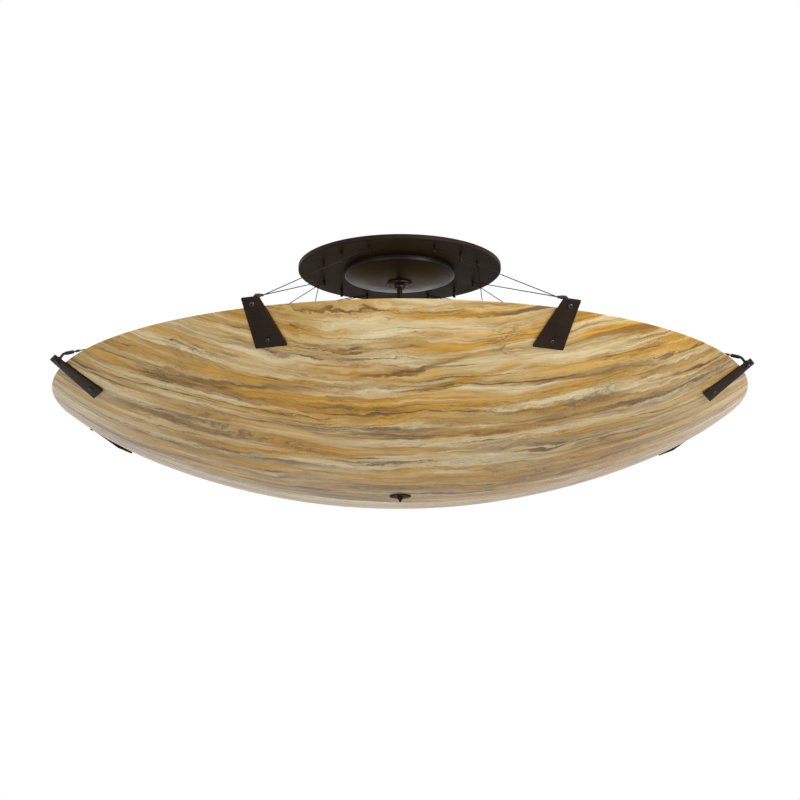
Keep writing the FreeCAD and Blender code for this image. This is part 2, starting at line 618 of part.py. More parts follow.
def lamp_hub_cover():
    """Lid of the canister, with a threaded spigot that carries it on the stem."""
    seat = HUB_TOP_Z - HUB_COVER_HEIGHT
    spigot_z = HUB_TOP_Z - HUB_JOINT_GRIP
    inner = HUB_RADIUS - HUB_WALL - SLIDE_CLEARANCE
    lip_z = seat - HUB_WALL
    bevel = HUB_COVER_HEIGHT / 2
    return revolve([(STEM_HOLE_RADIUS, spigot_z), (COUPLING_RADIUS, spigot_z), (COUPLING_RADIUS, lip_z),
                    (inner, lip_z), (inner, seat), (HUB_RADIUS, seat), (HUB_RADIUS, HUB_TOP_Z - bevel),
                    (HUB_RADIUS - bevel, HUB_TOP_Z), (STEM_HOLE_RADIUS, HUB_TOP_Z)])


def lampholder():
    """Cup with a nipple into the hub's wall, built on the +X side."""
    bore = BULB_CAP_RADIUS + BULB_CAP_CLEARANCE
    nipple = 2 * HUB_WALL
    bevel = 2.0
    cup = revolve([(0, -nipple), (HOLDER_NIPPLE_RADIUS, -nipple), (HOLDER_NIPPLE_RADIUS, 0),
                   (HOLDER_RADIUS - bevel, 0), (HOLDER_RADIUS, bevel), (HOLDER_RADIUS, HOLDER_LENGTH),
                   (bore, HOLDER_LENGTH), (bore, HOLDER_FLOOR), (0, HOLDER_FLOOR)])
    return laid_out(cup, HUB_RADIUS)


def bulb():
    """Round bulb: screw cap, neck and globe."""
    start = HOLDER_FLOOR + BULB_FLOOR_GAP
    globe_z = start + BULB_LENGTH - BULB_RADIUS
    flare_z = globe_z - BULB_RADIUS * BULB_FLARE_SHARE
    flare_r = BULB_RADIUS * math.sqrt(1 - BULB_FLARE_SHARE ** 2)
    cap_end = HOLDER_LENGTH + BULB_CAP_SHOWS
    neck_z = cap_end + BULB_NECK_RADIUS - BULB_CAP_RADIUS
    outline = [edge((0, 0, start), (BULB_CAP_RADIUS, 0, start)),
               edge((BULB_CAP_RADIUS, 0, start), (BULB_CAP_RADIUS, 0, cap_end)),
               edge((BULB_CAP_RADIUS, 0, cap_end), (BULB_NECK_RADIUS, 0, neck_z)),
               edge((BULB_NECK_RADIUS, 0, neck_z), (flare_r, 0, flare_z)),
               arc((flare_r, 0, flare_z), (BULB_RADIUS, 0, globe_z), (0, 0, globe_z + BULB_RADIUS)),
               edge((0, 0, globe_z + BULB_RADIUS), (0, 0, start))]
    return laid_out(revolve_edges(outline), HUB_RADIUS)


def laid_out(shape, distance):
    """Turn a shape built along +Z to lie along +X at the lamps' height."""
    copy = shape.copy()
    copy.rotate(ORIGIN, Vector(0, 1, 0), 90)
    copy.translate(Vector(distance, 0, LAMP_Z))
    return copy


# -------------------------------------------------------------- finial

WASHER_TOP_Z = BOWL_BOTTOM_Z - CURVED_SEAT_GAP
KNOB_TOP_Z = WASHER_TOP_Z - FINIAL_WASHER_HEIGHT - FACE_GAP
INNER_WASHER_Z = BOWL_BOTTOM_Z + BOWL_WALL + INNER_WASHER_RADIUS ** 2 / (2 * FLOOR_ARC) + CURVED_SEAT_GAP


def finial_rod():
    top = HUB_BOTTOM_Z + ROD_GRIP
    bottom = KNOB_TOP_Z - ROD_GRIP
    return Part.makeCylinder(ROD_RADIUS, top - bottom, Vector(0, 0, bottom))


def washer(radius, height, z):
    bevel = height / 4
    hole = ROD_RADIUS + SLIDE_CLEARANCE
    return revolve([(hole, z), (radius - bevel, z), (radius, z + bevel), (radius, z + height), (hole, z + height)])


def bowl_inner_nut():
    nut = hexagon(INNER_NUT_RADIUS, INNER_NUT_HEIGHT, NUT_CROWN)
    nut = nut.cut(Part.makeCylinder(ROD_HOLE_RADIUS, INNER_NUT_HEIGHT))
    nut.translate(Vector(0, 0, INNER_WASHER_Z + INNER_WASHER_HEIGHT))
    return nut


def finial_knob():
    """Small pointed knob with a blind threaded hole."""
    bore_z = KNOB_TOP_Z - ROD_GRIP - 0.3
    band_z = KNOB_TOP_Z - KNOB_BAND
    tip_z = KNOB_TOP_Z - KNOB_LENGTH
    return revolve([(0, bore_z), (ROD_HOLE_RADIUS, bore_z), (ROD_HOLE_RADIUS, KNOB_TOP_Z), (KNOB_RADIUS, KNOB_TOP_Z),
                    (KNOB_RADIUS, band_z), (KNOB_TIP_RADIUS, tip_z), (0, tip_z)])


def main():
    os.makedirs("parts", exist_ok=True)
    shell = bowl_blank()
    bolt, outer_pad, inner_pad, nut = lower_fixings(shell)
    bowl = shell
    for passage in around(bolt_passage(), BRACKET_COUNT, BRACKET_FIRST_ANGLE):
        bowl = bowl.cut(passage)
    save("bowl", [bowl])
    plates = around(bracket(), BRACKET_COUNT, BRACKET_FIRST_ANGLE)
    for index, plate in enumerate(plates):
        save(f"bracket_{index + 1}", [plate])
    upper_bolt = placed(button_bolt(UPPER_BOLT_X, UPPER_HEAD_RADIUS, UPPER_HEAD_HEIGHT,
                                    BRACKET_THICKNESS + BOSS_THREAD_DEPTH - 0.5))
    for name, piece in (("upper_bolts", upper_bolt), ("lower_bolts", bolt), ("bracket_pads", outer_pad),
                        ("inner_pads", inner_pad), ("lower_nuts", nut), ("wire_terminals", terminal())):
        save(name, around(piece, BRACKET_COUNT, BRACKET_FIRST_ANGLE))
    for name, strand in all_wires():
        save(name, [strand])
    save("canopy_plate", [canopy_plate()])
    save("ceiling_crossbar", [ceiling_crossbar()])
    save("mounting_studs", mounting_studs())
    nuts = []
    for spot in stud_spots(PLATE_FACE_Z):
        piece = canopy_nut()
        piece.translate(spot)
        nuts.append(piece)
    save("canopy_nuts", nuts)
    anchor = wire_anchor()
    anchor.translate(Vector(ANCHOR_CIRCLE_RADIUS, 0, 0))
    save("wire_anchors", around(anchor, BRACKET_COUNT, BRACKET_FIRST_ANGLE))
    save("canopy_dome", [canopy_dome()])
    save("dome_seat_ring", [dome_seat_ring()])
    save("stem_coupling", [stem_coupling()])
    save("stem", [stem()])
    save("dome_collar", [dome_collar()])
    save("collar_screw", [collar_screw()])
    save("lamp_hub", [lamp_hub()])
    save("lamp_hub_cover", [lamp_hub_cover()])
    for index, piece in enumerate(around(lampholder(), LAMP_COUNT, LAMP_FIRST_ANGLE)):
        save(f"lampholder_{index + 1}", [piece])
    for index, piece in enumerate(around(bulb(), LAMP_COUNT, LAMP_FIRST_ANGLE)):
        save(f"bulb_{index + 1}", [piece])
    save("finial_rod", [finial_rod()])
    save("bowl_inner_washer", [washer(INNER_WASHER_RADIUS, INNER_WASHER_HEIGHT, INNER_WASHER_Z)])
    save("bowl_inner_nut", [bowl_inner_nut()])
    save("finial_washer", [washer(FINIAL_WASHER_RADIUS, FINIAL_WASHER_HEIGHT, WASHER_TOP_Z - FINIAL_WASHER_HEIGHT)])
    save("finial_knob", [finial_knob()])


main()
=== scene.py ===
import json
import math

import bpy
from mathutils import Matrix, Vector

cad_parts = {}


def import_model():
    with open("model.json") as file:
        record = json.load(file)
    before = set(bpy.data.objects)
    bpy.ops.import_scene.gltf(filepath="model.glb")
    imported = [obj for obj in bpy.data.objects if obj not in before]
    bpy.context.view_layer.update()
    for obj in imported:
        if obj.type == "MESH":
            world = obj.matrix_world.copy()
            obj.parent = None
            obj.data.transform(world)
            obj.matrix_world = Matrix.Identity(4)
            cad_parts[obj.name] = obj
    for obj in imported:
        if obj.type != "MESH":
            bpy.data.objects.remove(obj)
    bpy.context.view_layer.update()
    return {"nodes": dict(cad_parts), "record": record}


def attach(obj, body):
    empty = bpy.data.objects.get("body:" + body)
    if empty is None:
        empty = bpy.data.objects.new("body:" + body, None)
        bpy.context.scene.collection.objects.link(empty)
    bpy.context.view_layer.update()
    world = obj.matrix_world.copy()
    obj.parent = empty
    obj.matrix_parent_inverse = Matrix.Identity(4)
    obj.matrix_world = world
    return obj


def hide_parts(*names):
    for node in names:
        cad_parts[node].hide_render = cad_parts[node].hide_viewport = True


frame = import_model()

# Sizes shared with the solids, in metres. Z is 0 at the ceiling, and the front is -Y.
BOWL_RADIUS = 0.6115
BOWL_DEPTH = 0.174
BOWL_WALL = 0.005
BOWL_HOLE = 0.0034
LIP_ROUND = 0.0008
SHOULDER_RADIUS = BOWL_RADIUS * 0.795
SHOULDER_HEIGHT = BOWL_DEPTH * 0.577
FLOOR_ARC = (SHOULDER_RADIUS ** 2 + SHOULDER_HEIGHT ** 2) / (2 * SHOULDER_HEIGHT)
RIM_Z = -0.2481
BOTTOM_Z = RIM_Z - BOWL_DEPTH
PLATE_FACE_Z = -0.0085
STUD_CIRCLE = 0.148
BRACKET_LOW, BRACKET_HIGH = -0.047, 0.051
BRACKET_THICK = 0.003
BRACKET_BELOW_RIM = 0.0309
BRACKET_GAP = 0.0004
LOWER_BOLT_X = BRACKET_LOW + 0.016
UPPER_BOLT_X = BRACKET_HIGH - 0.011
TERMINAL_REACH = 0.0153
TERMINAL_SLOPE = 18.0
LAMP_Z = RIM_Z - 0.071

# Angles in degrees, counted from the front
BRACKETS, LAMPS = 8, 4
BRACKET_STEP = 360 / BRACKETS
BRACKET_ANGLES = [BRACKET_STEP * (k + 0.5) for k in range(BRACKETS)]
LAMP_ANGLES = [360 / LAMPS * (k + 0.5) for k in range(LAMPS)]

SLOT_OF = {s["node"]: s["material_slot"] for s in frame["record"]["subparts"]}


# ------------------------------------------------------------ materials

def srgb(r, g, b):
    """Linear colour of an 8-bit display colour."""
    out = []
    for c in (r, g, b):
        c /= 255
        out.append(c / 12.92 if c <= 0.04045 else ((c + 0.055) / 1.055) ** 2.4)
    return (*out, 1.0)


class Nodes:
    """Short way to write a material's node tree. A (node, output) pair stands for a value."""

    def __init__(self, name):
        self.material = bpy.data.materials.new(name)
        self.material.use_nodes = True
        self.tree = self.material.node_tree
        self.tree.nodes.clear()
        self.output = self.new("ShaderNodeOutputMaterial")
        self.shader = self.new("ShaderNodeBsdfPrincipled")
        self.link(self.shader, "BSDF", self.output, "Surface")
        self.place = self.new("ShaderNodeTexCoord")

    def new(self, kind, **settings):
        node = self.tree.nodes.new(kind)
        for key, value in settings.items():
            setattr(node, key, value)
        return node

    def link(self, a, out, b, socket):
        self.tree.links.new(a.outputs[out], b.inputs[socket])

    def put(self, node, socket, value):
        """Set a socket to a constant, or link it to a (node, output) pair."""
        if isinstance(value, tuple) and len(value) == 2 and hasattr(value[0], "outputs"):
            self.link(*value, node, socket)
        else:
            node.inputs[socket].default_value = value

    def set(self, **values):
        """Set the shader's sockets, named with _ for a space."""
        for key, value in values.items():
            self.put(self.shader, key.replace("_", " "), value)

    def mapped(self, scale, offset=(0, 0, 0)):
        """Object coordinates times a scale along each axis, then moved."""
        node = self.new("ShaderNodeMapping")
        node.inputs["Scale"].default_value = scale
        node.inputs["Location"].default_value = offset
        self.link(self.place, "Object", node, "Vector")
        return (node, "Vector")

    def noise(self, vector, detail, roughness, distortion=0.0):
        """Noise in 0 to 1. The vector carries its scale."""
        node = self.new("ShaderNodeTexNoise")
        for key, value in (("Vector", vector), ("Scale", 1.0), ("Detail", detail),
                           ("Roughness", roughness), ("Distortion", distortion)):
            self.put(node, key, value)
        return (node, "Fac")

    def even_noise(self, scale, detail, roughness):
        """Noise of one scale along every axis."""
        return self.noise(self.mapped((scale, scale, scale)), detail, roughness)

    def math(self, kind, a, b=0.0):
        node = self.new("ShaderNodeMath", operation=kind)
        self.put(node, 0, a)
        self.put(node, 1, b)
        return (node, "Value")

    def plus(self, a, b):
        return self.math("ADD", a, b)

    def minus(self, a, b):
        return self.math("SUBTRACT", a, b)

    def times(self, a, b):
        return self.math("MULTIPLY", a, b)

    def largest(self, a, b):
        return self.math("MAXIMUM", a, b)

    def combine(self, x, y, z):
        node = self.new("ShaderNodeCombineXYZ")
        for index, value in enumerate((x, y, z)):
            self.put(node, index, value)
        return (node, "Vector")

    def remap(self, value, low, high, to_low=0.0, to_high=1.0):
        """Value carried from one range to another, and held at its ends."""
        node = self.new("ShaderNodeMapRange")
        for index, item in enumerate((value, low, high, to_low, to_high)):
            self.put(node, index, item)
        return (node, "Result")

    def mix(self, factor, a, b):
        """Colour between a, at factor 0, and b, at factor 1."""
        node = self.new("ShaderNodeMix", data_type="RGBA")
        colour_a, colour_b, result = 6, 7, 2
        self.put(node, "Factor", factor)
        self.put(node, colour_a, a)
        self.put(node, colour_b, b)
        return (node, result)

    def blend(self, factor, colours):
        """Mix of two display colours."""
        return self.mix(factor, srgb(*colours[0]), srgb(*colours[1]))

    def bump(self, height, strength, distance, normal=None):
        node = self.new("ShaderNodeBump")
        node.inputs["Strength"].default_value = strength
        node.inputs["Distance"].default_value = distance
        self.put(node, "Height", height)
        if normal:
            self.put(node, "Normal", normal)
        return (node, "Normal")

    def worn_edges(self, radius, amount):
        """0 on flats, up to amount where the surface turns within the radius, broken by noise."""
        bevel = self.new("ShaderNodeBevel", samples=6)
        bevel.inputs["Radius"].default_value = radius
        facing = self.new("ShaderNodeVectorMath", operation="DOT_PRODUCT")
        self.put(facing, 0, (bevel, "Normal"))
        self.put(facing, 1, (self.new("ShaderNodeNewGeometry"), "Normal"))
        edge = self.remap((facing, "Value"), 0.75, 0.985, amount, 0.0)
        rubbed = self.remap(self.even_noise(130.0, 4.0, 0.6), 0.38, 0.60, 0.25, 1.0)
        return self.times(edge, rubbed)


# Display colours of the glass. A tone runs between two of them with the fine noise, and the
# soft and deep browns from the rim to the middle of the bowl.
TAN = (204, 172, 106), (178, 140, 74)
MILK = (236, 223, 184), (220, 199, 146)
AMBER = (222, 172, 56), (182, 129, 34)
SOFT_BROWN = (130, 92, 44), (100, 78, 56)
DEEP_BROWN = (84, 59, 30), (74, 57, 42)
HAIR_BROWN = (122, 90, 46)
CRACK_BROWN = (88, 66, 42)
VEIN_BROWN = (92, 72, 54)

# Layers of noise in the glass: frequency along and across the streaks, seed, detail,
# roughness, distortion
STREAKS = {
    "broad": (1.3, 9.0, 3.1, 3.0, 0.50, 0.0),
    "middle": (3.2, 27.0, 7.7, 5.0, 0.60, 0.4),
    "fine": (8.0, 84.0, 11.3, 4.0, 0.62, 0.4),
    "hair": (16.0, 220.0, 17.9, 3.0, 0.60, 0.0),
    "pale": (2.6, 24.0, 23.5, 5.0, 0.60, 0.5),
    "shade_band": (2.0, 19.0, 31.4, 5.0, 0.60, 0.0),
    "shade_line": (5.0, 46.0, 41.2, 5.0, 0.64, 0.5),
    "ragged": (11.0, 92.0, 47.9, 5.0, 0.66, 0.6),
    "sharp": (3.4, 48.0, 53.6, 6.0, 0.62, 0.6),
    "crack": (5.5, 62.0, 61.2, 5.0, 0.62, 0.7),
    "crack_patch": (3.0, 20.0, 71.9, 4.0, 0.60, 0.0),
    "cream_breaks": (6.0, 58.0, 83.1, 5.0, 0.60, 0.4),
    "amber_breaks": (6.0, 58.0, 89.3, 5.0, 0.60, 0.4),
    "brown_breaks": (6.0, 58.0, 97.7, 5.0, 0.60, 0.4),
    "knot": (13.0, 34.0, 2.2, 5.0, 0.62, 1.5),
}

# Soft strokes that the glass shows at the front: middle x and y, half length, half width, slope
CREAM_STROKES = (
    (-0.075, -0.512, 0.13, 0.026, 0.0),
    (0.15, -0.372, 0.15, 0.014, 0.0),
    (-0.41, -0.318, 0.14, 0.028, 0.0),
    (-0.30, -0.500, 0.12, 0.020, 0.0),
    (0.30, -0.520, 0.13, 0.018, 0.0),
)
AMBER_STROKES = (
    (-0.22, -0.425, 0.18, 0.017, -0.10),
    (-0.07, -0.388, 0.17, 0.012, 0.0),
    (0.08, -0.455, 0.14, 0.013, -0.30),
    (0.05, -0.583, 0.22, 0.012, 0.0),
    (0.25, -0.445, 0.13, 0.012, 0.10),
)
BROWN_STROKES = (
    (-0.385, -0.218, 0.15, 0.014, 0.0),
    (-0.25, -0.155, 0.18, 0.016, 0.0),
    (-0.28, -0.392, 0.16, 0.009, -0.20),
    (-0.005, -0.483, 0.11, 0.007, -0.27),
    (0.32, -0.484, 0.10, 0.012, 0.10),
    (0.31, -0.412, 0.13, 0.010, 0.15),
)


def art_glass():
    """Opal sheet glass: cream ground, amber bands, brown streaks and a few knots, along X."""
    n = Nodes("art_glass")
    split = n.new("ShaderNodeSeparateXYZ")
    n.put(split, 0, (n.place, "Object"))
    x, y, z = ((split, axis) for axis in "XYZ")

    def centred(value, gain):
        return n.times(n.minus(value, 0.5), gain)

    # The streaks wander slowly, wave, fray where the glass was stirred, and close up as the
    # wall climbs
    slow = centred(n.noise(n.mapped((1.7, 2.4, 0)), 2.0, 0.5), 0.15)
    wave = centred(n.noise(n.mapped((6.0, 11.0, 0), (3.7, 0.4, 0)), 3.0, 0.55), 0.055)
    fray = centred(n.noise(n.mapped((27.0, 54.0, 0)), 6.0, 0.64), 0.028)
    stirred = n.noise(n.mapped((3.1, 5.2, 0), (1.9, 6.3, 0)), 2.0, 0.5)
    fray = n.times(fray, n.remap(stirred, 0.42, 0.66, 0.60, 2.1))
    local = n.plus(y, n.plus(wave, fray))
    climb = n.times(n.minus(z, BOTTOM_Z), 1.3)
    across = n.plus(n.plus(local, slow), n.times(y, climb))

    def streaks(name):
        """Noise of one layer, drawn out along the streaks."""
        along_scale, across_scale, seed, *texture = STREAKS[name]
        spot = n.combine(n.times(x, along_scale), n.times(across, across_scale), seed)
        return n.noise(spot, *texture)

    def crest(name, width):
        """1 on the thin lines where a layer crosses its middle value, 0 beyond the width."""
        gap = n.math("ABSOLUTE", n.minus(streaks(name), 0.5))
        return n.remap(gap, 0.0, width, 1.0, 0.0)

    def strokes(items, breaks):
        """Strongest of several soft strokes, broken up along their length."""
        total = 0.0
        for middle_x, middle_y, half_length, half_width, slope in items:
            ahead = n.minus(x, middle_x)
            aside = n.minus(n.minus(local, middle_y), n.times(ahead, slope))
            reach = n.plus(n.math("POWER", n.times(ahead, 1 / half_length), 2.0),
                           n.math("POWER", n.times(aside, 1 / half_width), 2.0))
            total = n.largest(total, n.remap(reach, 0.05, 1.0, 1.0, 0.0))
        return n.times(total, n.remap(streaks(breaks), 0.36, 0.56, 0.30, 1.0))

    fine = streaks("fine")
    milk = n.blend(n.remap(fine, 0.40, 0.64), MILK)
    pale = n.remap(streaks("pale"), 0.44, 0.57)
    cream = strokes(CREAM_STROKES, "cream_breaks")
    colour = n.blend(n.remap(fine, 0.36, 0.64), TAN)
    colour = n.mix(n.times(pale, 0.90), colour, milk)
    colour = n.mix(cream, colour, milk)

    amber = n.times(n.remap(streaks("middle"), 0.42, 0.56),
                    n.remap(streaks("broad"), 0.36, 0.54, 0.28, 1.0))
    amber = n.times(amber, n.remap(cream, 0.0, 1.0, 1.0, 0.35))
    amber = n.largest(amber, strokes(AMBER_STROKES, "amber_breaks"))
    colour = n.mix(amber, colour, n.blend(n.remap(fine, 0.38, 0.62), AMBER))

    # Browns are warm towards the rim and greyer over the middle of the bowl
    grey = n.remap(n.math("ABSOLUTE", y), 0.42, 0.16)
    shade = n.times(n.remap(streaks("shade_band"), 0.47, 0.62),
                    n.remap(streaks("shade_line"), 0.41, 0.58))
    shade = n.times(shade, n.remap(streaks("ragged"), 0.38, 0.58, 0.30, 1.0))
    colour = n.mix(shade, colour, n.blend(grey, SOFT_BROWN))
    sharp = n.largest(n.remap(streaks("sharp"), 0.575, 0.650),
                      strokes(BROWN_STROKES, "brown_breaks"))
    colour = n.mix(n.times(sharp, 0.80), colour, n.blend(grey, DEEP_BROWN))
    colour = n.mix(n.remap(streaks("hair"), 0.50, 0.68, 0.0, 0.17), colour, srgb(*HAIR_BROWN))

    crack = n.times(crest("crack", 0.016), n.remap(streaks("crack_patch"), 0.47, 0.60))
    colour = n.mix(n.times(crack, 0.66), colour, srgb(*CRACK_BROWN))

    # Knots: thin dark veins in a few patches
    patch = n.noise(n.mapped((4.4, 7.0, 0), (4.2, 1.3, 0)), 2.0, 0.5)
    vein = n.times(crest("knot", 0.05), n.remap(patch, 0.56, 0.66))
    colour = n.mix(n.times(vein, 0.75), colour, srgb(*VEIN_BROWN))

    ripple = n.noise(n.mapped((7.0, 22.0, 7.0)), 3.0, 0.5)
    grain = n.noise(n.mapped((160.0, 240.0, 160.0)), 2.0, 0.5)
    n.set(Base_Color=colour, Roughness=n.remap(fine, 0.3, 0.7, 0.24, 0.36),
          Normal=n.bump(grain, 0.05, 0.0006, n.bump(ripple, 0.22, 0.006)),
          IOR=1.5, Specular_IOR_Level=0.40, Subsurface_Weight=0.05,
          Subsurface_Radius=(0.012, 0.010, 0.007), Subsurface_Scale=0.12)
    return n.material


WEAR_RADIUS, WEAR_AMOUNT, WEAR_COLOUR = 0.0009, 0.62, (112, 86, 62)


def bronze(name, dark, light, roughness, specular):
    """Oil-rubbed bronze: mottled brown-black coat, worn at the edges, with a fine peel."""
    n = Nodes(name)
    cloud = n.even_noise(24.0, 4.0, 0.6)
    speck = n.even_noise(420.0, 3.0, 0.6)
    peel = n.even_noise(900.0, 2.0, 0.5)
    wear = n.worn_edges(WEAR_RADIUS, WEAR_AMOUNT)
    speck_colour = srgb(*[c + 20 for c in light])
    colour = n.blend(n.remap(cloud, 0.35, 0.68), (dark, light))
    colour = n.mix(n.remap(speck, 0.58, 0.75, 0.0, 0.30), colour, speck_colour)
    colour = n.mix(wear, colour, srgb(*WEAR_COLOUR))
    skin = n.remap(cloud, 0.3, 0.7, roughness - 0.06, roughness + 0.07)
    n.set(Base_Color=colour, Roughness=n.minus(skin, n.times(wear, 0.12)),
          Normal=n.bump(peel, 0.18, 0.0002), Specular_IOR_Level=specular)
    return n.material


def steel():
    """Plain steel, brushed along its length."""
    n = Nodes("plain_steel")
    roughness = 0.34
    lines = n.noise(n.mapped((40.0, 40.0, 900.0)), 3.0, 0.6)
    shade = n.blend(n.remap(lines, 0.3, 0.7), ((154, 152, 148), (176, 174, 170)))
    n.set(Base_Color=shade, Metallic=1.0, Normal=n.bump(lines, 0.12, 0.0001),
          Roughness=n.remap(lines, 0.3, 0.7, roughness - 0.07, roughness + 0.07))
    return n.material


def glazed(name, colour, roughness, speckle):
    """White enamel or porcelain, faintly uneven in tone, with a soft orange peel."""
    n = Nodes(name)
    cloud = n.even_noise(30.0, 4.0, 0.55)
    dust = n.even_noise(500.0, 2.0, 0.5)
    shade = n.blend(n.remap(cloud, 0.35, 0.65), ([c - 9 for c in colour], colour))
    shade = n.mix(n.remap(dust, 0.66, 0.76, 0.0, speckle), shade, srgb(150, 144, 132))
    n.set(Base_Color=shade, Roughness=n.remap(cloud, 0.3, 0.7, roughness, roughness + 0.08),
          Normal=n.bump(cloud, 0.08, 0.001), Coat_Weight=0.35, Coat_Roughness=0.08)
    return n.material


def frosted():
    """Etched white bulb glass."""
    n = Nodes("frosted_glass")
    fine = n.even_noise(300.0, 3.0, 0.6)
    cloud = n.even_noise(40.0, 3.0, 0.5)
    shade = n.blend(n.remap(cloud, 0.3, 0.7), ((232, 230, 222), (243, 242, 236)))
    n.set(Base_Color=shade, Roughness=n.remap(fine, 0.3, 0.7, 0.32, 0.46),
          Normal=n.bump(fine, 0.10, 0.0002), Subsurface_Weight=0.2,
          Subsurface_Radius=(0.01, 0.01, 0.01), Subsurface_Scale=0.3)
    return n.material


def rubber():
    """Soft black rubber."""
    n = Nodes("soft_rubber")
    fine = n.even_noise(600.0, 3.0, 0.6)
    shade = n.blend(n.remap(fine, 0.3, 0.7), ((24, 23, 22), (40, 38, 36)))
    n.set(Base_Color=shade, Roughness=n.remap(fine, 0.3, 0.7, 0.62, 0.80),
          Normal=n.bump(fine, 0.25, 0.0002))
    return n.material


GLASS = art_glass()
BRONZE = bronze("dark_bronze", (35, 25, 19), (48, 36, 28), roughness=0.52, specular=0.10)
DOME_BRONZE = bronze("dome_bronze", (20, 14, 10), (30, 22, 16), roughness=0.36, specular=0.27)
BLACK = bronze("black_metal", (18, 15, 14), (31, 27, 25), roughness=0.42, specular=0.25)
BOLT = bronze("bolt_black", (20, 18, 17), (40, 38, 38), roughness=0.27, specular=0.75)
STEEL = steel()
WIRE = bronze("bronzed_wire", (30, 25, 22), (44, 37, 32), roughness=0.60, specular=0.06)
ENAMEL = glazed("white_enamel", (232, 230, 224), roughness=0.20, speckle=0.15)
PORCELAIN = glazed("white_porcelain", (236, 232, 222), roughness=0.16, speckle=0.3)
FROSTED = frosted()
RUBBER = rubber()
BY_SLOT = {"art_glass": GLASS, "dark_bronze": BRONZE, "black_metal": BLACK,
           "plain_steel": STEEL, "steel_wire": WIRE, "white_enamel": ENAMEL,
           "white_porcelain": PORCELAIN, "frosted_glass": FROSTED, "soft_rubber": RUBBER}


# --------------------------------------------------------------- meshes

# A turned form without a hole ends in a ring this small
AXIS_RADIUS = 0.00003


class Build:
    """Collects rings of points into one mesh."""

    def __init__(self):
        self.points = []
        self.faces = []

    def loft(self, rings, matrix=Matrix.Identity(4), closed=False):
        """Skin over rings of equal length. Closed joins the last ring to the first."""
        start = len(self.points)
        size = len(rings[0])
        count = len(rings)
        for points in rings:
            self.points += [matrix @ Vector(p) for p in points]
        for i in range(count if closed else count - 1):
            a = start + i * size
            b = start + (i + 1) % count * size
            for j in range(size):
                k = (j + 1) % size
                self.faces.append((a + j, a + k, b + k, b + j))
        if not closed:
            self.faces.append(tuple(start + j for j in reversed(range(size))))
            self.faces.append(tuple(start + (count - 1) * size + j for j in range(size)))

    def lathe(self, profile, matrix=Matrix.Identity(4), size=48, closed=False):
        """Turned form from (radius, z) or (radius, z, wave). Closed is for one with a hole."""
        rings = [ring(max(radius, AXIS_RADIUS), z, size, *wave) for radius, z, *wave in profile]
        self.loft(rings, matrix, closed)

    def piece(self, name, body, node, material, sharp):
        """Object that rides on a body in place of a node. Edges over the angle stay sharp."""
        mesh = bpy.data.meshes.new(name)
        mesh.from_pydata([tuple(p) for p in self.points], [], self.faces)
        mesh.validate()
        mesh.update()
        for polygon in mesh.polygons:
            polygon.use_smooth = True
        mesh.set_sharp_from_angle(angle=math.radians(sharp))
        obj = bpy.data.objects.new(name, mesh)
        bpy.context.scene.collection.objects.link(obj)
        mesh.materials.append(material)
        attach(obj, body)
        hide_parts(node)


def ring(radius, z, size, wave=None):
    """Circle of points about Z. Wave gives a factor on the radius for each angle."""
    out = []
    for k in range(size):
        t = 2 * math.pi * k / size
        r = radius * (wave(t) if wave else 1)
        out.append((r * math.sin(t), -r * math.cos(t), z))
    return out


def hex_wave(t):
    """Radius factor of a hexagon whose corners lie on the circle."""
    step = math.pi / 3
    return math.cos(step / 2) / math.cos((t % step) - step / 2)


def strand_wave(t):
    """Radius factor of six strands round a wire: it dips between them."""
    return 0.86 + 0.14 * abs(math.cos(3 * t))


def knurl(teeth, depth):
    """Radius factor of fine ribs along a turned surface."""
    return lambda t: 1 - depth * (0.5 - 0.5 * math.cos(teeth * t))


def turn(angle):
    """Turns what is built at the +X side to an angle counted from the front."""
    return Matrix.Rotation(math.radians(angle - 90), 4, "Z")


def at_angle(radius, angle, z):
    """Point on a circle about the stem."""
    t = math.radians(angle)
    return Vector((radius * math.sin(t), -radius * math.cos(t), z))


def arc_points(centre_r, centre_z, radius, start, end, count):
    """Points of an arc in the (r, z) plane. Angles count from straight down, outward."""
    out = []
    for k in range(count):
        t = start + (end - start) * k / (count - 1)
        out.append((centre_r + radius * math.sin(t), centre_z - radius * math.cos(t)))
    return out


def arc_through(first, middle, last, count):
    """Points of the arc through three (r, z) points."""
    a, b, c = Vector(first), Vector(middle), Vector(last)
    aa, bb, cc = a.length_squared, b.length_squared, c.length_squared
    d = 2 * (a.x * (b.y - c.y) + b.x * (c.y - a.y) + c.x * (a.y - b.y))
    centre_r = (aa * (b.y - c.y) + bb * (c.y - a.y) + cc * (a.y - b.y)) / d
    centre_z = (aa * (c.x - b.x) + bb * (a.x - c.x) + cc * (b.x - a.x)) / d
    radius = math.hypot(a.x - centre_r, a.y - centre_z)
    start = math.atan2(a.x - centre_r, centre_z - a.y)
    end = math.atan2(c.x - centre_r, centre_z - c.y)
    return arc_points(centre_r, centre_z, radius, start, end, count)


def bowl_curve():
    """Centre and radius of the steeper arc, and the shoulder's angle, as in the solids."""
    shoulder = math.asin(SHOULDER_RADIUS / FLOOR_ARC)
    run = BOWL_RADIUS - SHOULDER_RADIUS
    climb = BOWL_DEPTH - SHOULDER_HEIGHT
    radius = math.hypot(run, climb) / (2 * math.sin(math.atan2(climb, run) - shoulder))
    centre_r = SHOULDER_RADIUS - radius * math.sin(shoulder)
    centre_z = RIM_Z + radius * math.cos(shoulder) - climb
    return centre_r, centre_z, radius, shoulder


